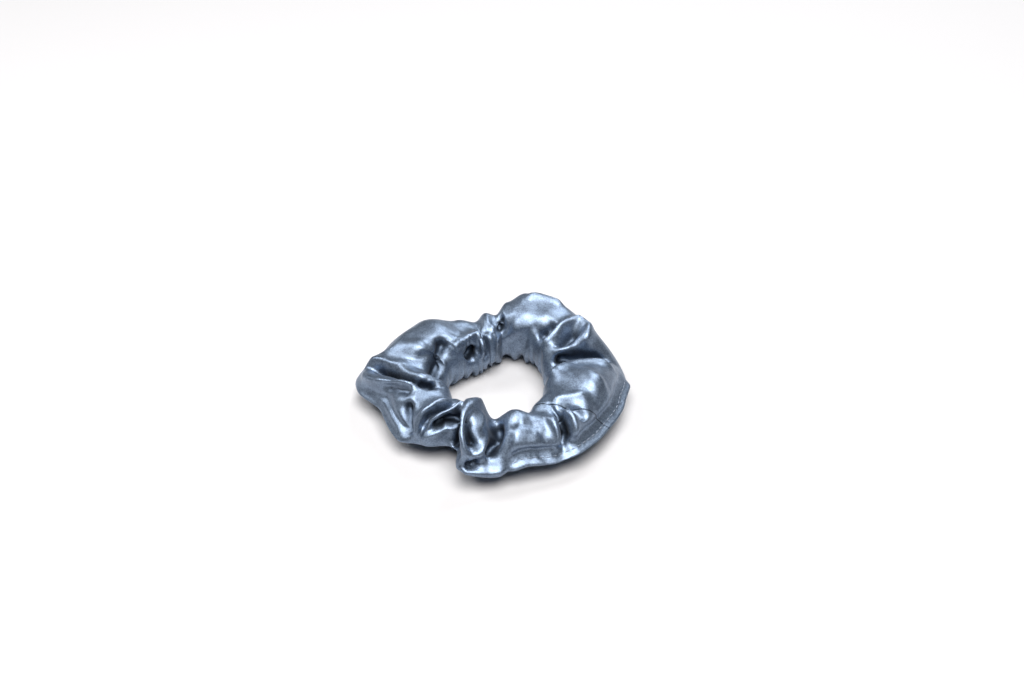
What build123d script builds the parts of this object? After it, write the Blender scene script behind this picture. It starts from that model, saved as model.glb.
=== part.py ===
"""A satin scrunchie at rest: a gathered tube of satin over a loop of flat elastic, closed by an edge-stitched hem.

Millimetres. The loop lies flat on Z = 0 with its origin at the centre of its base, +X across and +Y to the back.
"""

import os
from bisect import bisect_right
from math import atan2, ceil, cos, degrees, pi, radians, sin

from build123d import *

# The satin tube. The gathered cloth doubles up on itself, so its wall is drawn thicker than one layer of satin.
cloth_wall = 0.8
base_drop = 0.12  # share of its height by which a cross section would pass below the base, where it is cut flat
section_step = 12.0  # most degrees between two cross sections
length_sections = 8  # cross sections that are joined at a time
outline_corners = 10  # of each cross section
split_gap = 0.3  # between the two halves that part when the scrunchie is pulled open

# The tube round the ring: degrees, outer radius, inner radius and height of the cross section.
# Puffs are wide and high, the gathers between them are narrow and low.
tube_profile = [
    (10, 49.0, 21.0, 18.5),  # gather at the end of the hem
    (24, 49.5, 20.5, 25.0),
    (38, 50.0, 22.0, 22.0),
    (55, 54.2, 22.0, 27.5),
    (73, 52.3, 22.0, 26.5),
    (90, 38.5, 23.0, 17.5),  # back gather, where the halves part
    (97, 40.5, 22.0, 18.5),
    (104, 39.5, 21.5, 18.0),
    (118, 46.0, 18.5, 26.5),
    (140, 49.0, 18.5, 28.0),
    (160, 52.5, 19.0, 25.5),
    (176, 54.5, 19.0, 20.0),
    (198, 47.5, 18.5, 24.0),
    (220, 47.5, 19.0, 19.5),
    (230, 44.0, 18.5, 21.0),
    (241, 41.5, 19.0, 17.0),
    (253, 50.5, 19.5, 24.5),
    (270, 47.0, 21.0, 18.0),  # front gather, where the halves part
    (286, 45.0, 20.5, 24.5),
    (303, 48.0, 21.5, 19.0),
    (313, 51.0, 21.0, 23.5),
    (330, 49.5, 20.5, 21.5),  # cross seam, where the tube's two ends are joined
    (350, 51.1, 19.5, 24.5),
]
back_gather, front_gather = 90.0, 270.0

# The edge-stitched hem that closes the tube. It stands out from the tube's outer edge.
hem_start, hem_end = 276.0, 368.0
hem_reach = 3.2
hem_clearance = 0.7
hem_thickness = 1.2
hem_height = 7.0

# The raw edges of the long seam, turned in along the tube's outer edge.
seam_height = 8.4
seam_thickness = 0.6
seam_width = 4.0
seam_clearance = 3.5
seam_end_margin = 3.0  # degrees kept free at the ends of each length of seam

# Lockstitches: short lengths of thread that lie on the cloth.
stitch_length, stitch_width, stitch_height = 1.9, 0.4, 0.3
stitch_lift = 0.02  # between a stitch and the cloth
stitch_pitch = 2.6

# The cross seam's turned-in edges, a flat ring inside the tube, and the thread through them.
cross_seam_angle = 330.0
cross_seam_inset = 1.6
cross_seam_width = 2.0
cross_seam_thickness = 0.6
cross_stitches = 22

# The flat elastic, a loop whose ends overlap and are sewn together.
elastic_radius = 26.7  # of its inner face
elastic_thickness, elastic_width = 0.9, 6.0
elastic_middle = 9.6
elastic_lap = 32.0  # degrees of overlap
elastic_gap = 0.15  # between the overlapped ends
elastic_turn = -20.0  # where the overlap begins
elastic_steps = 40  # that its curve is drawn in
lap_radius = elastic_radius + 2 * elastic_thickness + elastic_gap  # of the overlap's outer face
join_rows, join_stitches = 4, 3
join_length, join_pitch = 1.4, 1.8


def ring_profile(angle):
    """Outer radius, inner radius and height of the tube at an angle round the ring."""
    first = tube_profile[0][0]
    angle = (angle - first) % 360 + first
    index = bisect_right([station[0] for station in tube_profile], angle) - 1
    start = tube_profile[index]
    end = tube_profile[(index + 1) % len(tube_profile)]
    share = (angle - start[0]) / ((end[0] - start[0]) % 360)
    ease = (1 - cos(pi * share)) / 2
    return [a + (b - a) * ease for a, b in zip(start[1:], end[1:])]


def ring_place(angle, radius, height=0.0):
    """A place on the ring."""
    return Vector(radius * cos(radians(angle)), radius * sin(radians(angle)), height)


def tube_section(angle, inset=0.0):
    """The plane, half width and half height of the tube's cross section, or of the hollow in it."""
    outer, inner, top = ring_profile(angle)
    bottom = inset if inset else -base_drop * top
    centre = ring_place(angle, (outer + inner) / 2, (bottom + top - inset) / 2)
    plane = Plane(centre, x_dir=ring_place(angle, 1), z_dir=ring_place(angle - 90, 1))
    return plane, (outer - inner) / 2 - inset, (top - inset - bottom) / 2


def section_angles(start, end):
    """Every station of the profile between two angles, with more between them where they are far apart."""
    stations = [station[0] + turn for turn in (-360, 0, 360) for station in tube_profile]
    marks = sorted({start, end, *(mark for mark in stations if start < mark < end)})
    angles = [marks[0]]
    for near, far in zip(marks, marks[1:]):
        parts = ceil((far - near) / section_step)
        angles += [near + (far - near) * part / parts for part in range(1, parts + 1)]
    return angles


def section_face(angle, inset):
    """A cross section of the tube: an ellipse drawn with straight sides."""
    plane, half_width, half_height = tube_section(angle, inset)
    turns = [2 * pi * corner / outline_corners for corner in range(outline_corners)]
    with BuildSketch(plane) as section:
        with BuildLine():
            Polyline([(half_width * cos(turn), half_height * sin(turn)) for turn in turns], close=True)
        make_face()
    return section.sketch


def tube_lengths(start, end, inset=0.0):
    """The cross sections between two angles, in lists that each make one length of tube."""
    faces = [section_face(angle, inset) for angle in section_angles(start, end)]
    step = length_sections - 1
    return [faces[first : first + length_sections] for first in range(0, len(faces) - 1, step)]


def edge_place(angle, inward):
    """A place inward of the tube's outer edge, or outward where that is negative."""
    return ring_place(angle, ring_profile(angle)[0] - inward)


def edge_strip(start, end, near, far, height):
    """A flat strip that follows the tube's outer edge, from near to far inward of it."""
    angles = section_angles(start, end)
    with BuildSketch(Plane.XY.offset(height)) as strip:
        with BuildLine():
            outer = Spline([edge_place(angle, near) for angle in angles])
            inner = Spline([edge_place(angle, far) for angle in angles])
            Line(outer @ 0, inner @ 0)
            Line(outer @ 1, inner @ 1)
        make_face()
    return strip.sketch


def edge_stitches(start, end, inward, height):
    """Outlines of a row of stitches that follows the tube's outer edge."""
    line = Spline([edge_place(angle, inward) for angle in section_angles(start, end)])
    count = int(line.length / stitch_pitch)
    places = []
    for index in range(1, count):
        heading = line % (index / count)
        places.append(Location(line @ (index / count), (0, 0, degrees(atan2(heading.Y, heading.X)))))
    with BuildSketch(Plane.XY.offset(height)) as row:
        with Locations(places):
            SlotOverall(stitch_length, stitch_width)
    return row.sketch


def cross_stitches_at(lift):
    """Outlines of the stitches round the cross seam, at a height over its face."""
    plane, half_width, half_height = tube_section(cross_seam_angle, cross_seam_inset + cross_seam_width / 2)
    line = Edge.make_ellipse(half_width, half_height)
    with BuildSketch(plane.offset(lift)) as row:
        for index in range(cross_stitches):
            heading = line % (index / cross_stitches)
            turn = degrees(atan2(heading.Y, heading.X))
            with Locations(Location(line @ (index / cross_stitches), (0, 0, turn))):
                SlotOverall(stitch_length, stitch_width)
    return row.sketch


def elastic_places(outward):
    """Places along the elastic, outward of its inner face. Its last stretch climbs over its first."""
    climb_start, climb = 300.0, 60.0
    places = []
    for step in range(elastic_steps + 1):
        turn = (360 + elastic_lap) * step / elastic_steps
        share = min(max((turn - climb_start) / climb, 0), 1)
        radius = elastic_radius + (elastic_thickness + elastic_gap) * (1 - cos(pi * share)) / 2
        places.append(ring_place(elastic_turn + turn, radius + outward))
    return places


def finish(part, name):
    """Labels a piece and writes its file."""
    part.label = name
    export_step(part, f"parts/{name}.step")
    print(name, len(part.solids()), "solids", round(part.volume, 1), "mm3")


os.makedirs("parts", exist_ok=True)


# The left half of the satin tube, a hollow shell that is open where the halves meet.
with BuildPart() as cover_left:
    for length in tube_lengths(back_gather, front_gather):
        loft(length, ruled=True)
    split(bisect_by=Plane.XY, keep=Keep.TOP)
    for length in tube_lengths(back_gather, front_gather, cloth_wall):
        loft(length, ruled=True, mode=Mode.SUBTRACT)
    split(bisect_by=Plane.YZ.offset(-split_gap / 2), keep=Keep.BOTTOM)
finish(cover_left.part, "cover_left")

# The right half.
with BuildPart() as cover_right:
    for length in tube_lengths(front_gather - 360, back_gather):
        loft(length, ruled=True)
    split(bisect_by=Plane.XY, keep=Keep.TOP)
    for length in tube_lengths(front_gather - 360, back_gather, cloth_wall):
        loft(length, ruled=True, mode=Mode.SUBTRACT)
    split(bisect_by=Plane.YZ.offset(split_gap / 2), keep=Keep.TOP)
finish(cover_right.part, "cover_right")

# The closing hem: the tube's last open edges, turned in, pressed flat together and topstitched.
hem_near, hem_far = -hem_clearance - hem_reach, -hem_clearance
with BuildPart() as closing_hem:
    extrude(edge_strip(hem_start, hem_end, hem_near, hem_far, hem_height), amount=hem_thickness)
finish(closing_hem.part, "closing_hem")

# The long seam's allowances inside the tube. It ends at the hem's end and is parted between the halves.
left_seam = (back_gather + seam_end_margin, front_gather - seam_end_margin)
right_seam = (hem_end - 360 + seam_end_margin, back_gather - seam_end_margin)
seam_near, seam_far = seam_clearance, seam_clearance + seam_width
seam_line = seam_clearance + seam_width / 2
needle_height = seam_height + seam_thickness + stitch_lift
bobbin_height = seam_height - stitch_lift - stitch_height

with BuildPart() as seam_allowance_left:
    extrude(edge_strip(*left_seam, seam_near, seam_far, seam_height), amount=seam_thickness)
finish(seam_allowance_left.part, "seam_allowance_left")

with BuildPart() as seam_allowance_right:
    extrude(edge_strip(*right_seam, seam_near, seam_far, seam_height), amount=seam_thickness)
finish(seam_allowance_right.part, "seam_allowance_right")

# Each seam is lockstitched: the needle thread shows on its upper face and the bobbin thread on its lower face.
with BuildPart() as seam_needle_thread_left:
    extrude(edge_stitches(*left_seam, seam_line, needle_height), amount=stitch_height)
finish(seam_needle_thread_left.part, "seam_needle_thread_left")

with BuildPart() as seam_bobbin_thread_left:
    extrude(edge_stitches(*left_seam, seam_line, bobbin_height), amount=stitch_height)
finish(seam_bobbin_thread_left.part, "seam_bobbin_thread_left")

with BuildPart() as seam_needle_thread_right:
    extrude(edge_stitches(*right_seam, seam_line, needle_height), amount=stitch_height)
finish(seam_needle_thread_right.part, "seam_needle_thread_right")

with BuildPart() as seam_bobbin_thread_right:
    extrude(edge_stitches(*right_seam, seam_line, bobbin_height), amount=stitch_height)
finish(seam_bobbin_thread_right.part, "seam_bobbin_thread_right")

closing_line = -hem_clearance - hem_reach / 2
with BuildPart() as closing_needle_thread:
    top_face = hem_height + hem_thickness + stitch_lift
    extrude(edge_stitches(hem_start, hem_end, closing_line, top_face), amount=stitch_height)
finish(closing_needle_thread.part, "closing_needle_thread")

with BuildPart() as closing_bobbin_thread:
    under_face = hem_height - stitch_lift - stitch_height
    extrude(edge_stitches(hem_start, hem_end, closing_line, under_face), amount=stitch_height)
finish(closing_bobbin_thread.part, "closing_bobbin_thread")

# The cross seam's allowances, a flat ring across the tube.
with BuildPart() as cross_seam_allowance:
    ring = section_face(cross_seam_angle, cross_seam_inset)
    extrude(ring - section_face(cross_seam_angle, cross_seam_inset + cross_seam_width), amount=cross_seam_thickness)
finish(cross_seam_allowance.part, "cross_seam_allowance")

with BuildPart() as cross_seam_thread:
    for lift in (cross_seam_thickness + stitch_lift, -stitch_lift - stitch_height):
        extrude(cross_stitches_at(lift), amount=stitch_height)
finish(cross_seam_thread.part, "cross_seam_thread")

# The elastic: one strip wound into a loop, whose ends lie on each other.
with BuildPart() as elastic_band:
    with BuildSketch(Plane.XY.offset(elastic_middle - elastic_width / 2)):
        with BuildLine():
            inner_face = Spline(elastic_places(0))
            outer_face = Spline(elastic_places(elastic_thickness))
            Line(inner_face @ 0, outer_face @ 0)
            Line(inner_face @ 1, outer_face @ 1)
        make_face()
    extrude(amount=elastic_width)
finish(elastic_band.part, "elastic_band")

# The rows of thread that hold the elastic's ends together, on both faces of the overlap.
with BuildPart() as elastic_join_thread:
    for row in range(join_rows):
        angle = elastic_turn + elastic_lap * (row + 1) / (join_rows + 1)
        for radius, outward in ((lap_radius + stitch_lift, 1), (elastic_radius - stitch_lift, -1)):
            face = Plane(ring_place(angle, radius, elastic_middle), x_dir=(0, 0, 1), z_dir=ring_place(angle, outward))
            with BuildSketch(face):
                with GridLocations(join_pitch, 0, join_stitches, 1):
                    SlotOverall(join_length, stitch_width)
            extrude(amount=stitch_height)
finish(elastic_join_thread.part, "elastic_join_thread")
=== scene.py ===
from math import cos, pi, radians, sin, tau

import bmesh
import bpy
import numpy as np
from mathutils import Matrix, Vector


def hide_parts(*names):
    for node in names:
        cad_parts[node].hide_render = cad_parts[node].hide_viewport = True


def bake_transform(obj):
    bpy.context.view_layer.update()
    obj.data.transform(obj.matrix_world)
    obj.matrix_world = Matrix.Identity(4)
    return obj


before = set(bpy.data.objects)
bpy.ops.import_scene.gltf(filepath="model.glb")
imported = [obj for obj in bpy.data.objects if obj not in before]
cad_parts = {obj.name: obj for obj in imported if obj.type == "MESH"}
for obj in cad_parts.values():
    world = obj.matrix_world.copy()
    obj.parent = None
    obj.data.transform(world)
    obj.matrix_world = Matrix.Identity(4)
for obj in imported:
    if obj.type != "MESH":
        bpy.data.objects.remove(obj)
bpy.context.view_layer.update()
scene = bpy.context.scene
mm = 0.001

# camera, paper floor and soft light; watts and metres
stage = {
    "lens": 50.0, "sensor": 36.0,
    "elevation": 40.0, "distance": 0.599, "lookAt": (0.0068, 0.0392, 0.0),
    "floorSize": 6.0, "paper": (0.52, 0.515, 0.52),
    "sky": (0.85, 0.9, 1.0), "skyStrength": 0.035,
    "lights": [
        # name, size, power, place, colour
        ("overheadSoftbox", 1.0, 25.0, (0.05, -0.3, 1.1), (1.0, 0.985, 0.975)),
        ("leftSoftbox", 0.4, 5.0, (-0.75, 0.25, 0.8), (1.0, 1.0, 1.0)),
        ("backSoftbox", 0.5, 8.0, (0.45, 0.8, 0.9), (0.96, 0.98, 1.0)),
    ],
}

# the gathered satin tube, in millimetres and degrees
satin = {
    "ringSteps": 240, "sectionSteps": 52,
    # angle round the ring, outer radius, inner radius and height of the tube there
    "ring": [
        (10, 53.0, 20.5, 18.5), (24, 52.0, 20.5, 23.0), (38, 51.5, 23.0, 23.5), (55, 52.0, 24.5, 25.5),
        (73, 50.5, 25.0, 26.0), (83, 45.0, 24.0, 23.5), (90, 38.5, 21.0, 20.5), (97, 39.5, 19.0, 22.0),
        (105, 37.5, 17.0, 19.0), (118, 41.0, 15.8, 20.5), (140, 47.0, 16.2, 24.5), (160, 50.0, 18.5, 23.5),
        (174, 56.0, 18.5, 19.5), (198, 45.5, 18.0, 23.0), (218, 46.0, 19.0, 20.0), (229, 41.5, 18.0, 21.5),
        (241, 36.5, 18.0, 20.5), (247, 37.5, 17.5, 21.5), (254, 48.5, 16.5, 26.5), (270, 45.5, 21.0, 18.0),
        (286, 43.0, 20.5, 22.5), (303, 45.0, 22.5, 19.0), (313, 47.0, 21.5, 22.0), (330, 47.6, 20.5, 21.5),
        (350, 50.0, 19.5, 23.5),
    ],
    "beltHeight": 0.4,  # share of the height at which the tube is widest
    "innerRound": 0.85, "outerSharp": 1.45,
    "tuck": 3.4, "tuckStart": 8.0,  # how far the outer lower side is drawn in, and from which angle
    "edgeRamp": 5.0,  # degrees over which a pressed edge comes in
    "thickness": 0.28,
    "lowest": 0.16,  # before the cloth settles
    "seatShare": 0.002, "seatHeight": 0.06,  # share of the points pressed flat on the floor, and their height
    "templateRadius": 0.034, "templateTube": 0.012,  # the plain ring that is bent into shape, in metres
    "uvRadius": 42.0,
    # metres; what the modelled shape holds, and a real strip is likely larger
    "stripWidth": 0.08, "stripLength": 0.30,
}

# pressed edges: angles between which they run, and out to in: angle round the tube, reach and half thickness
edges = {
    "closingHem": (276.0, 368.0, [
        (0, 2.2, 0.0), (7, 1.2, 0.5), (14, -0.5, 1.1), (21, -2.0, 2.7), (30, -4.4, 4.8),
    ]),
    "pressedFold": (178.0, 222.0, [
        (0, 0.8, 0.0), (7, 0.0, 0.6), (14, -1.4, 1.4), (21, -2.6, 3.0), (30, -4.4, 4.8),
    ]),
}

# small gathers where the tube is drawn in over the elastic
gathers = {
    "count": 40, "depth": 1.3, "middle": 240.0, "reach": 40.0,
    "drift": 2.2, "driftCount": 7,  # how unevenly they are spaced
    # a second set at half the count
    "slowDepth": 0.5, "slowStart": 40, "slowDrift": 1.5, "slowDriftCount": 5,
}

# folds: depth in mm (ridges above 0, valleys below), half width in mm, and points
# (angle round the ring, angle round the tube: 0 outer edge, 90 top, 180 inner edge)
folds = {
    "backLeftValley": (-3.6, 3.6, [(142, 108), (155, 128), (167, 135), (195, 132)]),
    "backLeftPuff": (1.6, 7.0, [(162, 85), (166, 110)]),
    "loopSidePuff": (1.6, 3.6, [(140, 126), (140, 146)]),
    "loopHole": (-4.8, 1.8, [(116, 134), (122, 152), (130, 168)]),
    "loopInner": (3.4, 1.4, [(134, 134), (121, 120), (112, 114), (107, 130), (108, 152), (113, 178)]),
    "loopGap": (-2.4, 1.0, [(102, 120), (102, 146), (106, 172)]),
    "loopOuter": (2.4, 1.8, [(99, 120), (96, 150), (95, 176), (99, 195)]),
    "leftRim": (2.6, 2.2, [(175, 30), (171, 50), (173, 70), (178, 88), (192, 94), (200, 106)]),
    "leftValley": (-6.0, 1.8, [(174, 44), (178, 62), (184, 80), (198, 92), (203, 106), (205, 135)]),
    "frontLeftRidge": (3.4, 1.4, [(173, 40), (179, 38), (185, 45), (193, 57), (200, 80), (204, 98)]),
    "frontLeftDip": (-2.4, 2.6, [(188, 38), (199, 58), (206, 84)]),
    "pressedRidge": (1.8, 1.1, [(188, 16), (199, 18), (212, 20), (221, 12)]),
    "cornerValley": (-3.6, 2.2, [(209, 68), (215, 52), (224, 20)]),
    "layerRidgeA": (3.8, 1.1, [(232, 112), (227, 88), (224, 60), (224, 34), (226, 6)]),
    "layerValleyA": (-4.6, 1.2, [(236, 104), (230, 78), (227, 52), (227, 34)]),
    "layerRidgeB": (3.6, 1.1, [(250, 108), (240, 94), (234, 74), (230, 52), (229, 28)]),
    "layerValleyB": (-5.2, 1.5, [(243, 92), (241, 70), (235, 52), (231, 36)]),
    "layerEdge": (2.4, 1.2, [(246, 42), (237, 38), (231, 26), (228, 8)]),
    "frontNotch": (-5.4, 1.8, [(244, 4), (247, 40), (249, 76)]),
    "peakRidge": (3.8, 1.3, [
        (250, 124), (252, 104), (253, 84), (254, 56), (256, 36), (259, 29), (263, 38), (266, 58), (268, 84),
    ]),
    "peakValley": (-4.6, 1.6, [(256, 92), (257, 60), (259, 46), (262, 50)]),
    "peakPanel": (1.6, 2.2, [(262, 106), (263, 76)]),
    "peakLeftValley": (-4.8, 1.5, [(251, 68), (251, 42), (253, 16)]),
    "lowerValley": (-3.8, 1.4, [(257, 12), (260, 17), (263, 26)]),
    "lipRidge": (2.2, 1.5, [(255, 2), (259, 2), (264, 6), (272, 10), (277, 8)]),
    "frontCrease": (-5.2, 1.5, [(272, 116), (272, 85), (269, 50), (267, 34)]),
    "frontPuff": (1.8, 6.0, [(278, 52), (286, 36), (294, 28)]),
    "frontPuffDip": (-1.4, 3.5, [(280, 90), (288, 74), (299, 76)]),
    "rightRidge": (3.2, 1.5, [(303, 100), (307, 76), (306, 54), (304, 34), (300, 16)]),
    "rightCrease": (-5.4, 1.6, [(313, 100), (311, 80), (310, 58), (309, 38), (306, 18)]),
    "rightPuffRidge": (3.0, 2.2, [(315, 96), (316, 60), (314, 38), (311, 20)]),
    "rightPuffValley": (-2.6, 2.0, [(320, 90), (322, 66), (321, 40)]),
    "hemPuffStreak": (2.0, 1.8, [(317, 114), (327, 92), (337, 72)]),
    "hemPuff": (1.4, 8.0, [(340, 80), (350, 60)]),
    "hemPuffRim": (2.8, 1.5, [(345, 148), (354, 126), (8, 106), (6, 78), (3, 40)]),
    "hemEndCrease": (-5.6, 1.8, [(16, 134), (16, 124), (14, 108), (13, 78), (13, 36)]),
    "backRidge": (4.0, 2.2, [
        (25, 152), (32, 142), (36, 122), (38, 98), (36, 78), (29, 72), (21, 84), (17, 84),
    ]),
    "backPuffValley": (-3.8, 2.4, [(24, 122), (27, 106), (29, 92), (25, 88)]),
    "backPanel": (2.0, 2.4, [(21, 136), (20, 116), (19, 98)]),
    "backRidgeValley": (-3.4, 2.4, [(49, 150), (44, 125), (42, 102)]),
    "backPuff": (1.6, 5.0, [(76, 142), (67, 158)]),
    "pressedTab": (2.4, 1.3, [(72, 88), (67, 78), (57, 76), (48, 72)]),
    "backSideFoldA": (-2.0, 2.0, [(31, -50), (28, -10), (27, 28)]),
    "backSideFoldB": (-1.6, 2.4, [(50, -60), (53, -20), (50, 30)]),
    "backSideFoldC": (-2.6, 1.8, [(70, -50), (72, 0), (78, 46)]),
    "backSideFoldD": (-2.2, 1.8, [(108, -50), (111, 0), (108, 50)]),
    "backSideFoldE": (-2.0, 2.2, [(124, -60), (128, -10), (124, 44)]),
    "backSideFoldF": (-1.8, 2.4, [(150, -60), (147, -10), (152, 40)]),
    "backSideRidge": (1.6, 2.0, [(138, -40), (137, 10), (133, 52)]),
    "innerFoldA": (-0.6, 1.6, [(60, 150), (63, 190), (61, 220)]),
    "innerFoldB": (-1.8, 1.6, [(178, 150), (176, 190), (180, 220)]),
    "innerFoldC": (-1.8, 1.6, [(288, 120), (291, 160), (288, 215)]),
    "crumpleValley": (-3.4, 1.4, [(86, 100), (86, 122), (84, 150)]),
    "crumpleRidge": (2.0, 1.3, [(93, 104), (91, 132), (88, 165)]),
}

# a fold's shape, as shares of its depth; widths and reach are in its half widths
crease = {
    "broad": 0.6, "broadFall": 1.6,  # its broad form, and how steeply that falls away
    "soft": 0.3, "softWidth": 2.4,  # its surroundings
    "valleyCrisp": 0.5, "ridgeCrisp": 0.25, "crispWidth": 0.62, "crispFall": 1.3,  # pressed in after settling
    "reach": 5.0,
    "pathSteps": 12, "endFade": 5.0, "endShare": 0.15,  # it fades to this share over a fifth of its length
}


def link(name, mesh):
    piece = bpy.data.objects.new(name, mesh)
    scene.collection.objects.link(piece)
    return piece


def meshFrom(name, build):
    mesh = bpy.data.meshes.new(name)
    build.to_mesh(mesh)
    build.free()
    mesh.polygons.foreach_set("use_smooth", [True] * len(mesh.polygons))
    return mesh


# ---- shader building
class Wire:
    def __init__(self, graph, socket):
        self.graph, self.socket = graph, socket

    def sum(self, operation, first, second):
        return self.graph.node("ShaderNodeMath", {"operation": operation}, {0: first, 1: second})

    def __add__(self, other):
        return self.sum("ADD", self, other)

    def __radd__(self, other):
        return self.sum("ADD", other, self)

    def __sub__(self, other):
        return self.sum("SUBTRACT", self, other)

    def __rsub__(self, other):
        return self.sum("SUBTRACT", other, self)

    def __mul__(self, other):
        return self.sum("MULTIPLY", self, other)

    def __rmul__(self, other):
        return self.sum("MULTIPLY", other, self)

    def __truediv__(self, other):
        return self.sum("DIVIDE", self, other)

    def __pow__(self, other):
        return self.sum("POWER", self, other)

    def apply(self, operation):
        return self.sum(operation, self, 0.0)


class Graph:
    def __init__(self, name):
        self.material = bpy.data.materials.new(name)
        self.material.use_nodes = True
        self.tree = self.material.node_tree
        self.shader = self.tree.nodes["Principled BSDF"]

    def node(self, kind, settings=None, inputs=None, output=0):
        made = self.tree.nodes.new(kind)
        for key, value in (settings or {}).items():
            setattr(made, key, value)
        for key, value in (inputs or {}).items():
            self.feed(made.inputs[key], value)
        return Wire(self, made.outputs[output])

    def feed(self, socket, value):
        if isinstance(value, Wire):
            self.tree.links.new(value.socket, socket)
        else:
            socket.default_value = value

    def set(self, **values):
        for key, value in values.items():
            self.feed(self.shader.inputs[key.replace("_", " ")], value)

    def mix(self, share, first, second):
        inputs = {"Factor": share, 6: (*first, 1) if isinstance(first, tuple) else first,
                  7: (*second, 1) if isinstance(second, tuple) else second}
        return self.node("ShaderNodeMix", {"data_type": "RGBA"}, inputs, output=2)

    def noise(self, where, scale, detail=2.0, rough=0.5):
        return self.node("ShaderNodeTexNoise", {}, {"Vector": where, "Scale": scale, "Detail": detail,
                                                    "Roughness": rough})

    def smooth(self, value, low, high):
        return self.node("ShaderNodeMapRange", {"interpolation_type": "SMOOTHSTEP"},
                         {"Value": value, "From Min": low, "From Max": high})

    def bump(self, height, distance, strength=1.0, normal=None):
        inputs = {"Height": height, "Distance": distance, "Strength": strength}
        if normal:
            inputs["Normal"] = normal
        return self.node("ShaderNodeBump", {}, inputs)

    def coords(self, output):
        return self.node("ShaderNodeTexCoord", {}, {}, output=output)

    def attribute(self, name):
        return self.node("ShaderNodeAttribute", {"attribute_name": name}, {}, output=2)

    def split(self, vector):
        made = self.tree.nodes.new("ShaderNodeSeparateXYZ")
        self.tree.links.new(vector.socket, made.inputs[0])
        return [Wire(self, socket) for socket in made.outputs]


# satin: colours are linear
dye = {
    "shade": (0.115, 0.151, 0.212), "shine": (0.26, 0.333, 0.44),
    "metallic": 0.93, "roughness": 0.45, "grain": 1700.0, "crinkle": 170.0, "float": 0.00042,
    "paintedFoldShade": (0.02, 0.03, 0.048), "paintedFoldShadeShare": 0.85,  # painted shade: the base colour is darkened down in the folds, where shade falls
    "paintedFoldShadeDepth": 3.2,  # mm of fold depth at which the painted shade is darkest
    # painted shade: a near-black line along the cross seam, where shade falls in its groove
    "seam": (0.02, 0.03, 0.045), "paintedSeamShadeShare": 0.75, "seamLine": (0.12, 0.45), "hemPucker": (0.2, 1.6),
    # height in metres and strength of each bump
    "crinkleBump": (0.0011, 0.12), "seamBump": (0.0003, 0.4), "grainBump": (0.00010, 0.5),
}


def satinMaterial(name, seams):
    graph = Graph(name)
    place = graph.coords("Object")
    along, across, _ = graph.split(graph.coords("UV"))
    grain = graph.noise(place, dye["grain"], 3.0, 0.65)
    slub = graph.noise(place, dye["grain"] / 5, 2.0)
    crinkle = graph.noise(place, dye["crinkle"], 3.0, 0.55)
    turn = tau / dye["float"]
    warp = ((across * turn).apply("SINE") + 1.0) * 0.5
    weft = ((along * (turn / 1.6) + across * (turn / 3)).apply("SINE") + 1.0) * 0.5
    weave = warp * weft
    tone = graph.smooth(grain * 0.7 + slub * 0.3, 0.3, 0.7)
    colour = graph.mix(tone, dye["shade"], dye["shine"])
    height = grain * 0.75 + weave * 0.25
    normal = graph.bump(crinkle, *dye["crinkleBump"])
    if seams:
        # painted shade: the base colour is darkened down in the folds, by how deep each point lies
        paintedFoldShade = graph.smooth(graph.attribute("paintedFoldShade"), 0.05, 1.0)
        colour = graph.mix(paintedFoldShade * dye["paintedFoldShadeShare"], colour, dye["paintedFoldShade"])
        # painted shade along the cross seam's groove; the same line also dips the bump there
        line = 1.0 - graph.smooth(graph.attribute("seamGap").apply("ABSOLUTE"), *dye["seamLine"])
        pucker = 1.0 - graph.smooth(graph.attribute("hemGap").apply("ABSOLUTE"), *dye["hemPucker"])
        colour = graph.mix(line * dye["paintedSeamShadeShare"], colour, dye["seam"])
        ripples = (along * (tau / (thread["pitch"] * mm))).apply("SINE") * pucker
        normal = graph.bump(ripples * 0.25 - line, *dye["seamBump"], normal)
    normal = graph.bump(height, *dye["grainBump"], normal)
    graph.set(Base_Color=colour, Metallic=dye["metallic"], Roughness=dye["roughness"] + (grain - 0.5) * 0.25,
              Normal=normal, Sheen_Weight=0.05, Sheen_Roughness=0.4, Specular_IOR_Level=0.5)
    return graph.material


def threadMaterial():
    graph = Graph("polyesterThread")
    along, across, _ = graph.split(graph.coords("Object"))
    twist = (((along + across) * 9000.0).apply("SINE") + 1.0) * 0.5
    fibres = graph.noise(graph.coords("Object"), 2500.0)
    colour = graph.mix(twist * fibres, (0.12, 0.15, 0.2), (0.34, 0.4, 0.5))
    graph.set(Base_Color=colour, Roughness=0.5 + fibres * 0.15, Sheen_Weight=0.3,
              Normal=graph.bump(twist, 0.00008, 0.6))
    return graph.material


def elasticMaterial():
    graph = Graph("wovenElastic")
    along, across, _ = graph.split(graph.coords("UV"))
    weave = ((along * (tau / 0.0007)).apply("SINE") * (across * (tau / 0.0005)).apply("SINE") + 1.0) * 0.5
    fluff = graph.noise(graph.coords("Object"), 900.0)
    colour = graph.mix(weave * 0.6 + fluff * 0.4, (0.5, 0.49, 0.46), (0.83, 0.82, 0.79))
    graph.set(Base_Color=colour, Roughness=0.75 + fluff * 0.15, Sheen_Weight=0.25,
              Normal=graph.bump(weave, 0.00012, 0.7))
    return graph.material


def paperMaterial():
    graph = Graph("paper")
    fibre = graph.noise(graph.coords("Object"), 700.0, 4.0)
    colour = graph.mix(fibre, tuple(tone * 0.985 for tone in stage["paper"]), stage["paper"])
    graph.set(Base_Color=colour, Roughness=0.9, Specular_IOR_Level=0.15,
              Normal=graph.bump(fibre, 0.0001, 0.2))
    return graph.material


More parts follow.
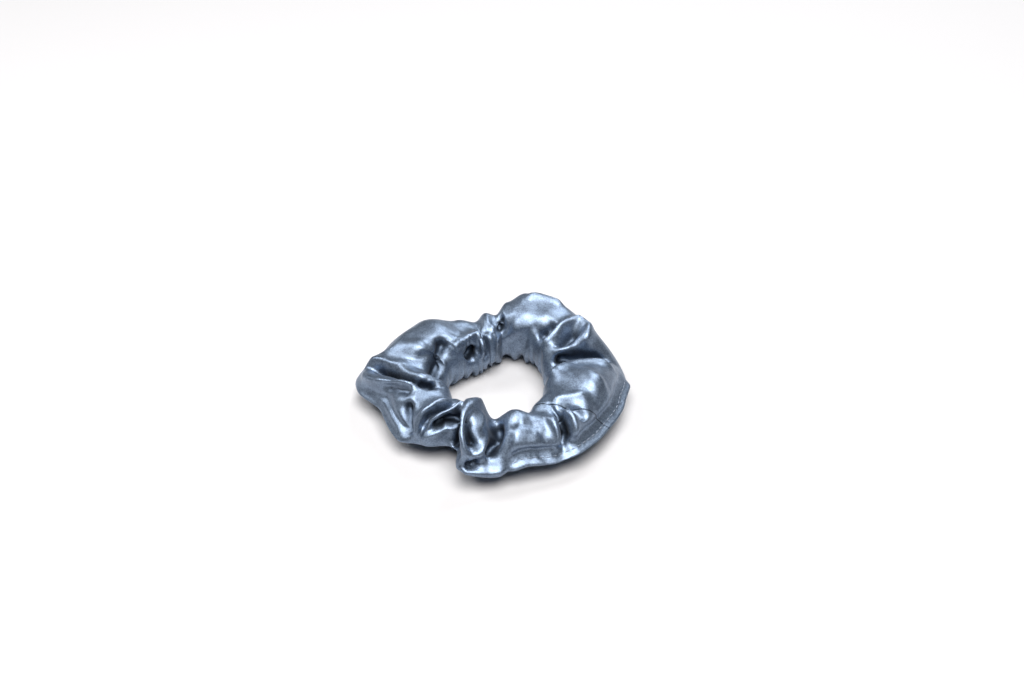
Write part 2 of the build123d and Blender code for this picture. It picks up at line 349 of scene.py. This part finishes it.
# ---- camera, floor and light
def makeStage():
    tilt, lookAt = radians(stage["elevation"]), Vector(stage["lookAt"])
    camera = bpy.data.objects.new("camera", bpy.data.cameras.new("camera"))
    scene.collection.objects.link(camera)
    camera.data.lens, camera.data.sensor_width, camera.data.clip_start = stage["lens"], stage["sensor"], 0.01
    camera.location = lookAt + stage["distance"] * Vector((0, -cos(tilt), sin(tilt)))
    camera.rotation_euler = (pi / 2 - tilt, 0, 0)
    scene.camera = camera
    board = bmesh.new()
    bmesh.ops.create_grid(board, x_segments=1, y_segments=1, size=stage["floorSize"] / 2)
    floor = link("floor", meshFrom("floor", board))
    floor.data.materials.append(paperMaterial())
    for name, size, power, place, colour in stage["lights"]:
        lamp = bpy.data.lights.new(name, "AREA")
        lamp.shape, lamp.size, lamp.energy, lamp.color = "DISK", size, power, colour
        holder = link(name, lamp)
        holder.location = place
        holder.rotation_euler = (-Vector(place)).to_track_quat("-Z", "Y").to_euler()
    world = bpy.data.worlds.new("world")
    scene.world = world
    world.use_nodes = True
    world.node_tree.nodes["Background"].inputs["Color"].default_value = (*stage["sky"], 1)
    world.node_tree.nodes["Background"].inputs["Strength"].default_value = stage["skyStrength"]
    scene.view_settings.view_transform = "Standard"


# ---- the satin tube's shape, in mm
def ringProfile(around):
    ring = np.array(satin["ring"], float)
    turned = (around - ring[0, 0]) % 360 + ring[0, 0]
    near = np.searchsorted(ring[:, 0], turned, side="right") - 1
    far = (near + 1) % len(ring)
    share = (turned - ring[near, 0]) / ((ring[far, 0] - ring[near, 0]) % 360)
    ease = ((1 - np.cos(pi * share)) / 2)[..., None]
    return ring[near, 1:] + (ring[far, 1:] - ring[near, 1:]) * ease


def ease(value, low, high):
    share = np.clip((value - low) / (high - low), 0, 1)
    return share * share * (3 - 2 * share)


def tubePlace(around, across):
    profile = ringProfile(around)
    outer, inner, top = profile[..., 0], profile[..., 1], profile[..., 2]
    wide, high = np.cos(np.radians(across)), np.sin(np.radians(across))
    power = satin["innerRound"] + (satin["outerSharp"] - satin["innerRound"]) * np.clip(wide, 0, 1) ** 2
    wide, high = np.sign(wide) * np.abs(wide) ** power, np.sign(high) * np.abs(high) ** power
    reach = (outer + inner) / 2 + (outer - inner) / 2 * wide
    belt = satin["beltHeight"]
    rise = np.where(high > 0, top * (1 - belt), top * belt) * high
    slant = (across + 180) % 360 - 180  # from -180 to 180, 0 at the outer edge
    for start, end, shape in edges.values():
        angle, out, half = np.array(shape, float).T
        turned, ramp = (around - start) % 360, satin["edgeRamp"]
        share = ease(turned, 0, ramp) * ease(end - start - turned, 0, ramp) * (np.abs(slant) < angle[-1])
        reach = reach + (outer + np.interp(np.abs(slant), angle, out) - reach) * share
        rise = rise + (np.sign(slant) * np.interp(np.abs(slant), angle, half) - rise) * share
    reach = reach - satin["tuck"] * np.sin(np.radians(np.clip(-slant - satin["tuckStart"], 0, 90) * 2))
    turn = np.radians(around)
    return np.stack([reach * np.cos(turn), reach * np.sin(turn), top * belt + rise], -1)


def tubeMiddle(around):
    profile = ringProfile(around)
    reach, turn = (profile[..., 0] + profile[..., 1]) / 2, np.radians(around)
    return np.stack([reach * np.cos(turn), reach * np.sin(turn), profile[..., 2] * satin["beltHeight"]], -1)


def tubeNormal(around, across):
    along = tubePlace(around + 0.5, across) - tubePlace(around - 0.5, across)
    up = tubePlace(around, across + 2) - tubePlace(around, across - 2)
    normal = np.cross(along, up)
    normal /= np.linalg.norm(normal, axis=-1, keepdims=True) + 1e-9
    outward = (normal * (tubePlace(around, across) - tubeMiddle(around))).sum(-1, keepdims=True)
    return normal * np.sign(outward)


def foldPath(points):
    samples, steps = [points[0]], crease["pathSteps"]
    for start, end in zip(points, points[1:]):
        turn, rise = (end[0] - start[0] + 180) % 360 - 180, end[1] - start[1]
        for step in range(1, steps + 1):
            samples.append((start[0] + turn * step / steps, start[1] + rise * step / steps))
    samples = np.array(samples, float)
    return tubePlace(samples[:, 0], samples[:, 1]), np.linspace(0, 1, len(samples))


# the cross seam swings back as it crosses the tube
crossSeam = {
    "outerAngle": 333.0, "swing": 14.0, "inset": 1.7, "width": 2.2, "thickness": 0.5,
    "columns": 104, "rows": 3, "girth": 80, "stitches": 34, "stitchLength": 1.5,
}


def seamAngle(across):
    return crossSeam["outerAngle"] - crossSeam["swing"] * (1 - np.cos(np.radians(across)))


# how far the folds lift each place: their broad shape, or the crisp line along the middle of it
def foldLift(places, crisp):
    lift = np.zeros(len(places))
    for depth, width, points in folds.values():
        path, along = foldPath(points)
        reach = width * crease["reach"]
        inside = (places > path.min(0) - reach) & (places < path.max(0) + reach)
        close = np.all(inside, axis=1).nonzero()[0]
        gaps = np.linalg.norm(places[close, None] - path[None], axis=-1)
        ends = np.minimum(along, 1 - along) * crease["endFade"]
        fade = np.clip(ends, crease["endShare"], 1)[gaps.argmin(1)]
        spread = gaps.min(1) / width
        if crisp:
            share = crease["ridgeCrisp"] if depth > 0 else crease["valleyCrisp"]
            shape = share * np.exp(-((spread / crease["crispWidth"]) ** crease["crispFall"]))
        else:
            shape = crease["broad"] * np.exp(-(spread ** crease["broadFall"]))
            shape += crease["soft"] * np.exp(-((spread / crease["softWidth"]) ** 2))
        lift[close] += depth * fade * shape
    return lift


def foldedPlace(around, across):
    places, normals = tubePlace(around, across), tubeNormal(around, across)
    lift = foldLift(places, False)
    swing = (across - gathers["middle"] + 180) % 360 - 180
    drawn = np.exp(-((swing / gathers["reach"]) ** 2))
    drift = gathers["drift"] * np.sin(np.radians(around * gathers["driftCount"]))
    slowDrift = gathers["slowDrift"] * np.sin(np.radians(around * gathers["slowDriftCount"]))
    wave = np.sin(np.radians(around * gathers["count"]) + drift)
    slow = np.radians(around * gathers["count"] * 0.5 + gathers["slowStart"])
    wave += gathers["slowDepth"] * np.sin(slow + slowDrift)
    lift += gathers["depth"] * drawn * wave
    places = places + normals * lift[:, None]
    places[:, 2] = np.maximum(places[:, 2], satin["lowest"])
    return places


def makeCover():
    build = bmesh.new()
    middle = satin["templateRadius"]
    facing = Matrix.Translation((middle, 0, 0)) @ Matrix.Rotation(pi / 2, 4, "X")
    bmesh.ops.create_circle(build, segments=satin["sectionSteps"], radius=satin["templateTube"],
                            matrix=facing)
    bmesh.ops.spin(build, geom=build.verts[:] + build.edges[:], cent=(0, 0, 0), axis=(0, 0, 1), angle=tau,
                   steps=satin["ringSteps"], use_merge=True)
    bmesh.ops.recalc_face_normals(build, faces=build.faces[:])
    start = np.array([vert.co[:] for vert in build.verts])
    around = np.degrees(np.arctan2(start[:, 1], start[:, 0])) % 360
    out = np.hypot(start[:, 0], start[:, 1]) - middle
    across = np.degrees(np.arctan2(start[:, 2], out)) % 360
    mesh = meshFrom("satin_cover", build)
    mesh.vertices.foreach_set("co", (foldedPlace(around, across) * mm).ravel())
    return link("satin_cover", mesh), around, across


relax = {
    "scale": 10.0, "frames": 12, "mostMove": 2.5,  # the most a point may move, in mm
    "pressure": 0.2, "quality": 6, "mass": 0.05, "airDamping": 2, "gravity": 0.3,
    "stretch": 30, "shear": 10, "bend": 0.8, "damping": 8,
    "selfGap": 0.004, "floorGap": 0.001, "tableSize": 2,  # metres at that scale
    # degrees from the inner and the outer edge over which the pins let go, and how far the inner ones do
    "innerPins": (12, 60), "outerPins": (20, 42), "innerLoose": 0.9,
}


# the cloth settles on a copy ten times the size, because collision distances there are whole millimetres
def settle(cover, across):
    scale = relax["scale"]
    copy = cover.copy()
    copy.data = cover.data.copy()
    scene.collection.objects.link(copy)
    copy.data.transform(Matrix.Scale(scale, 4))
    pins = copy.vertex_groups.new(name="pins")
    for index, angle in enumerate(across):
        turned = abs(angle - 180)
        inner = 1 - relax["innerLoose"] * ease(turned, *relax["innerPins"])
        outer = 1 - ease(180 - turned, *relax["outerPins"])
        pins.add([index], float(max(inner, outer)), "REPLACE")
    cloth = copy.modifiers.new("cloth", "CLOTH")
    settings = cloth.settings
    settings.quality, settings.mass = relax["quality"], relax["mass"]
    settings.air_damping = relax["airDamping"]
    settings.tension_stiffness = settings.compression_stiffness = relax["stretch"]
    settings.shear_stiffness, settings.bending_stiffness = relax["shear"], relax["bend"]
    settings.tension_damping = settings.compression_damping = settings.shear_damping = relax["damping"]
    settings.use_pressure, settings.uniform_pressure_force = True, relax["pressure"]
    settings.vertex_group_mass, settings.pin_stiffness = "pins", 1
    settings.effector_weights.gravity = relax["gravity"]
    cloth.collision_settings.use_self_collision = True
    cloth.collision_settings.self_distance_min = relax["selfGap"]
    cloth.collision_settings.distance_min = relax["floorGap"]
    board = bmesh.new()
    bmesh.ops.create_grid(board, x_segments=1, y_segments=1, size=relax["tableSize"])
    table = link("table", meshFrom("table", board))
    table.modifiers.new("collision", "COLLISION")
    table.collision.thickness_outer = table.collision.thickness_inner = relax["floorGap"]
    for step in range(1, relax["frames"] + 1):
        scene.frame_set(step)
    shown = copy.evaluated_get(bpy.context.evaluated_depsgraph_get())
    before, after = pointsOf(cover.data), pointsOf(shown.data) / scale
    moved = np.linalg.norm(after - before, axis=1, keepdims=True)
    mean, most = round(moved.mean() / mm, 2), round(moved.max() / mm, 2)
    print("the cloth settled by", mean, "mm, at most", most, "mm")
    move = (after - before) * np.minimum(1, relax["mostMove"] * mm / np.maximum(moved, 1e-9))
    cover.data.vertices.foreach_set("co", (before + move).ravel())
    bpy.data.objects.remove(copy)
    bpy.data.objects.remove(table)
    scene.frame_set(1)


# doubles the cover's points and carries each one's angles over to the finer mesh
def refine(cover, around, across):
    turns = {"aroundCos": np.cos(np.radians(around)), "aroundSin": np.sin(np.radians(around)),
             "acrossCos": np.cos(np.radians(across)), "acrossSin": np.sin(np.radians(across))}
    for name, values in turns.items():
        cover.data.attributes.new(name, "FLOAT", "POINT").data.foreach_set("value", values)
    finer = cover.modifiers.new("finer", "SUBSURF")
    finer.levels = finer.render_levels = 1
    shown = cover.evaluated_get(bpy.context.evaluated_depsgraph_get())
    mesh = bpy.data.meshes.new_from_object(shown)
    cover.modifiers.remove(finer)
    cover.data = mesh
    read = {}
    for name in turns:
        read[name] = np.empty(len(mesh.vertices))
        mesh.attributes[name].data.foreach_get("value", read[name])
    for name in turns:
        mesh.attributes.remove(mesh.attributes[name])
    around = np.degrees(np.arctan2(read["aroundSin"], read["aroundCos"])) % 360
    across = np.degrees(np.arctan2(read["acrossSin"], read["acrossCos"])) % 360
    return around, across


# presses a line along each fold, notes how deep each point lies for the painted shade in the folds, and sets
# the cover down on the floor
def pressCreases(cover, around, across):
    mesh = cover.data
    normals = np.empty(len(mesh.vertices) * 3)
    mesh.vertices.foreach_get("normal", normals)
    base = tubePlace(around, across)
    lift = foldLift(base, True)
    # how deep each point lies in a fold, kept for the painted shade in the folds
    paintedFoldShadeAmount = np.clip(-foldLift(base, False) / dye["paintedFoldShadeDepth"], 0, 1)
    mesh.attributes.new("paintedFoldShade", "FLOAT", "POINT").data.foreach_set("value", paintedFoldShadeAmount)
    places = pointsOf(mesh) + normals.reshape(-1, 3) * lift[:, None] * mm
    floor = np.quantile(places[:, 2], satin["seatShare"])
    places[:, 2] = np.maximum(places[:, 2] - floor, satin["seatHeight"] * mm)
    mesh.vertices.foreach_set("co", places.ravel())
    mesh.update()


def pointsOf(mesh):
    places = np.empty(len(mesh.vertices) * 3)
    mesh.vertices.foreach_get("co", places)
    return places.reshape(-1, 3)


# ---- places inside the finished tube
class Tube:
    def __init__(self, cover, around, across):
        steps, sides = satin["ringSteps"] * 2, satin["sectionSteps"] * 2
        ring = np.rint(around / 360 * steps).astype(int) % steps
        side = np.rint(across / 360 * sides).astype(int) % sides
        self.grid = np.zeros((steps, sides, 3))
        self.grid[ring, side] = pointsOf(cover.data) / mm
        self.steps, self.sides = steps, sides

    # radius and height of each point of the cross section
    def section(self, angle):
        place = angle % 360 / 360 * self.steps
        near, share = int(place) % self.steps, place % 1
        points = self.grid[near] * (1 - share) + self.grid[(near + 1) % self.steps] * share
        return np.stack([np.hypot(points[:, 0], points[:, 1]), points[:, 2]], -1)

    # lowest and highest the hollow goes at a radius
    def hollow(self, angle, radius):
        section = self.section(angle)
        half = self.sides // 2
        upper, lower = section[: half + 1], np.vstack([section[half:], section[:1]])
        return [np.interp(radius, *chain[np.argsort(chain[:, 0])].T) for chain in (lower, upper)]

    # radius just above the outer edge
    def outerEdge(self, angle):
        return self.section(angle)[round(longSeam["edgeAngle"] / 360 * self.sides), 0]

    def point(self, angle, across):
        place = angle % 360 / 360 * self.steps
        side = across % 360 / 360 * self.sides
        near, share, row, rest = int(place) % self.steps, place % 1, int(side) % self.sides, side % 1
        first = self.grid[near, row] * (1 - rest) + self.grid[near, (row + 1) % self.sides] * rest
        near = (near + 1) % self.steps
        second = self.grid[near, row] * (1 - rest) + self.grid[near, (row + 1) % self.sides] * rest
        return first * (1 - share) + second * share


def ringPoint(angle, radius, height):
    return np.array([radius * cos(radians(angle)), radius * sin(radians(angle)), height])


# a strip of cloth: place(u, v) gives mm for u along it and v across it
def makeStrip(name, columns, rows, size, place, thickness, closed=False):
    build = bmesh.new()
    bmesh.ops.create_grid(build, x_segments=columns, y_segments=rows, size=0.5, calc_uvs=False)
    sheet = build.loops.layers.uv.new("uv")
    spots = {vert: (vert.co.x + 0.5, vert.co.y + 0.5) for vert in build.verts}
    for face in build.faces:
        for loop in face.loops:
            loop[sheet].uv = spots[loop.vert][0] * size[0] * mm, spots[loop.vert][1] * size[1] * mm
    for vert, spot in spots.items():
        vert.co = Vector(place(*spot)) * mm
    if closed:
        bmesh.ops.remove_doubles(build, verts=build.verts[:], dist=0.01 * mm)
    piece = link(name, meshFrom(name, build))
    wall = piece.modifiers.new("wall", "SOLIDIFY")
    wall.thickness, wall.offset = thickness * mm, 0
    return piece


thread = {
    "length": 1.9, "width": 0.36, "pitch": 2.6, "sides": 8, "rings": 5,
    "lift": 0.08,  # above the cloth that it is sewn through
    "reach": 0.6,  # how far to each side a stitch's direction is read
}


# a row of lockstitches: each is a place, the way it runs and the way it faces
def makeStitches(name, stitches, length=None):
    build = bmesh.new()
    for place, along, up in stitches:
        along, up = Vector(along).normalized(), Vector(up).normalized()
        side = up.cross(along).normalized()
        up = along.cross(side)
        turn = Matrix((along, side, up)).transposed().to_4x4()
        long, wide = (length or thread["length"]) * mm, thread["width"] * mm
        shape = Matrix.Diagonal((long, wide, wide, 1))
        bmesh.ops.create_uvsphere(build, u_segments=thread["sides"], v_segments=thread["rings"], radius=0.5,
                                  matrix=Matrix.Translation(Vector(place) * mm) @ turn @ shape)
    return link(name, meshFrom(name, build))


def rowAlong(points, up):
    points = np.array(points)
    run = np.concatenate([[0], np.cumsum(np.linalg.norm(np.diff(points, axis=0), axis=1))])
    count = int(run[-1] / thread["pitch"])
    row = []
    for index in range(count):
        middle = (index + 0.5) * run[-1] / count
        before, here, after = (
            np.array([np.interp(middle + step, run, points[:, axis]) for axis in range(3)])
            for step in (-thread["reach"], 0, thread["reach"])
        )
        row.append((here, after - before, up))
    return row


def finishPiece(piece, nodes, material):
    piece.data.materials.append(material)
    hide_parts(*nodes)
    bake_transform(piece)


print("camera, floor and light")
makeStage()

print("satin cover")
cover, around, across = makeCover()
settle(cover, across)
around, across = refine(cover, around, across)
pressCreases(cover, around, across)
tube = Tube(cover, around, across)

closing = {
    "start": 279.0, "end": 365.1, "step": 0.75, "slant": 14.5, "lift": 0.12,
    "pressedAt": 15, "gapToDegree": 0.3, "farGap": 9,  # where the stitch line's pucker lies
}

layer = cover.data.uv_layers.new(name="uv")
lengthwise = 2 * pi * satin["uvRadius"] / 360 * mm  # metres of cloth to a degree
spots = np.empty(len(cover.data.loops), int)
cover.data.loops.foreach_get("vertex_index", spots)
u, v = around[spots], across[spots]
for values in (u, v):  # a face across the start of a turn counts on past 360
    highest = np.repeat(np.maximum.reduceat(values, np.arange(0, len(values), 4)), 4)
    values += 360 * ((values < 90) & (highest > 270))
layer.data.foreach_set("uv", np.stack([u * lengthwise, v * satin["stripWidth"] / 360], -1).ravel())
turned = (around - seamAngle(across) + 180) % 360 - 180
gap = turned * np.radians(1) * np.hypot(*pointsOf(cover.data)[:, :2].T) / mm
cover.data.attributes.new("seamGap", "FLOAT", "POINT").data.foreach_set("value", gap)
slant = np.abs((across + 180) % 360 - 180)
hemStart, hemEnd, _ = edges["closingHem"]
inHem = (around - hemStart) % 360 < hemEnd - hemStart
hemGap = np.where(inHem, (slant - closing["pressedAt"]) * closing["gapToDegree"], closing["farGap"])
cover.data.attributes.new("hemGap", "FLOAT", "POINT").data.foreach_set("value", hemGap)

wall = cover.modifiers.new("wall", "SOLIDIFY")
wall.thickness, wall.offset = satin["thickness"] * mm, -1
satinCloth, seamCloth = satinMaterial("slateSatin", True), satinMaterial("satinInside", False)
finishPiece(cover, ["cover_left", "cover_right", "closing_hem"], satinCloth)

print("seams inside the tube")
yarn = threadMaterial()
up, down = (0, 0, 1), (0, 0, -1)
longSeam = {
    "lengths": {"left": (93.0, 267.0), "right": (11.0, 87.0)},
    "inset": 3.6, "width": 4.0, "thickness": 0.5, "edgeAngle": 21.0,
    "steps": 150, "stepsDegrees": 174, "rows": 4, "mmToDegree": 0.75,
}


def seamPoint(angle, inset):
    radius = tube.outerEdge(angle) - inset
    low, high = tube.hollow(angle, radius)
    return ringPoint(angle, radius, (low + high) / 2)


for half, (start, end) in longSeam["lengths"].items():
    columns = int(longSeam["steps"] * (end - start) / longSeam["stepsDegrees"])
    near, width, size = longSeam["inset"], longSeam["width"], (end - start) * longSeam["mmToDegree"]
    strip = makeStrip(
        f"seam_allowance_{half}_cloth", columns, longSeam["rows"], (size, width),
        lambda u, v: seamPoint(start + (end - start) * u, near + width * v), longSeam["thickness"])
    finishPiece(strip, [f"seam_allowance_{half}"], seamCloth)
    line = []
    for step in range(columns + 1):
        line.append(seamPoint(start + (end - start) * step / columns, near + width / 2))
    lift = longSeam["thickness"] / 2 + thread["lift"]
    for side, way in (("needle", up), ("bobbin", down)):
        row = rowAlong([point + np.array(way) * lift for point in line], way)
        piece = makeStitches(f"seam_{side}_stitches_{half}", row)
        finishPiece(piece, [f"seam_{side}_thread_{half}"], yarn)

print("closing hem's stitches")
for side, sign, way, node in (("upper", 1, up, "closing_needle_thread"),
                              ("lower", -1, down, "closing_bobbin_thread")):
    turns = np.arange(closing["start"], closing["end"], closing["step"])
    line = [tube.point(angle, sign * closing["slant"]) + np.array(way) * closing["lift"] for angle in turns]
    piece = makeStitches(f"closing_{side}_stitches", rowAlong(line, way))
    finishPiece(piece, [node], yarn)

print("cross seam")


def crossPoint(angle, inset):
    around = float(seamAngle(angle))
    section = tube.section(around)
    centre = section.mean(0)
    side = angle % 360 / 360 * len(section)
    near, share = int(side) % len(section), side % 1
    spot = section[near] * (1 - share) + section[(near + 1) % len(section)] * share
    spot = spot + (centre - spot) / np.linalg.norm(centre - spot) * inset
    return ringPoint(around, *spot)


allowance = makeStrip(
    "cross_seam_cloth", crossSeam["columns"], crossSeam["rows"], (crossSeam["girth"], crossSeam["width"]),
    lambda u, v: crossPoint(360 * u, crossSeam["inset"] + crossSeam["width"] * v),
    crossSeam["thickness"], closed=True)
finishPiece(allowance, ["cross_seam_allowance"], seamCloth)
stitches = []
for index in range(crossSeam["stitches"]):
    angle = 360 * index / crossSeam["stitches"]
    inset = crossSeam["inset"] + crossSeam["width"] / 2
    along = crossPoint(angle + 2, inset) - crossPoint(angle - 2, inset)
    inward = crossPoint(angle, inset + 0.5) - crossPoint(angle, inset - 0.5)
    facing = np.cross(along, inward)
    facing /= np.linalg.norm(facing)
    for way in (facing, -facing):
        lift = way * (crossSeam["thickness"] / 2 + thread["lift"])
        stitches.append((crossPoint(angle, inset) + lift, along, way))
crossStitches = makeStitches("cross_seam_stitches", stitches, crossSeam["stitchLength"])
finishPiece(crossStitches, ["cross_seam_thread"], yarn)

print("elastic")
elastic = {
    "radius": 26.9, "thickness": 0.9, "width": 6.0, "height": 9.6, "turn": -20.0,
    "lap": 32.0, "gap": 0.2, "climb": (300, 360),  # degrees over which the lap climbs onto the first turn
    "ribs": 6, "ribDepth": 0.09, "steps": 300, "rows": 36, "mmToDegree": 0.47,
    "tackRows": 4, "tackColumns": (0.2, 0.5, 0.8), "tackLift": 0.15, "tackLength": 1.5,
}


def elasticPoint(turned, across, outward=0.0):
    climb = ease(turned, *elastic["climb"]) * (elastic["thickness"] + elastic["gap"])
    rib = elastic["ribDepth"] * sin(across * elastic["ribs"] * tau)
    radius = elastic["radius"] + elastic["thickness"] / 2 + climb + rib + outward
    angle = elastic["turn"] + turned
    height = elastic["height"] + (across - 0.5) * elastic["width"]
    return ringPoint(angle, radius, height)


wound = 360 + elastic["lap"]
band = makeStrip(
    "elastic_loop", elastic["steps"], elastic["rows"], (wound * elastic["mmToDegree"], elastic["width"]),
    lambda u, v: elasticPoint(wound * u, v), elastic["thickness"])
finishPiece(band, ["elastic_band"], elasticMaterial())
tacks = []
for row in range(elastic["tackRows"]):
    turned = elastic["lap"] * (row + 1) / (elastic["tackRows"] + 1)
    for column in elastic["tackColumns"]:
        for lap, outward in ((0.0, -1), (360.0, 1)):
            lift = outward * (elastic["thickness"] / 2 + elastic["tackLift"])
            facing = ringPoint(elastic["turn"] + turned, outward, 0)
            tacks.append((elasticPoint(turned + lap, column, lift), up, facing))
joinStitches = makeStitches("elastic_join_stitches", tacks, elastic["tackLength"])
finishPiece(joinStitches, ["elastic_join_thread"], yarn)

print("finish")
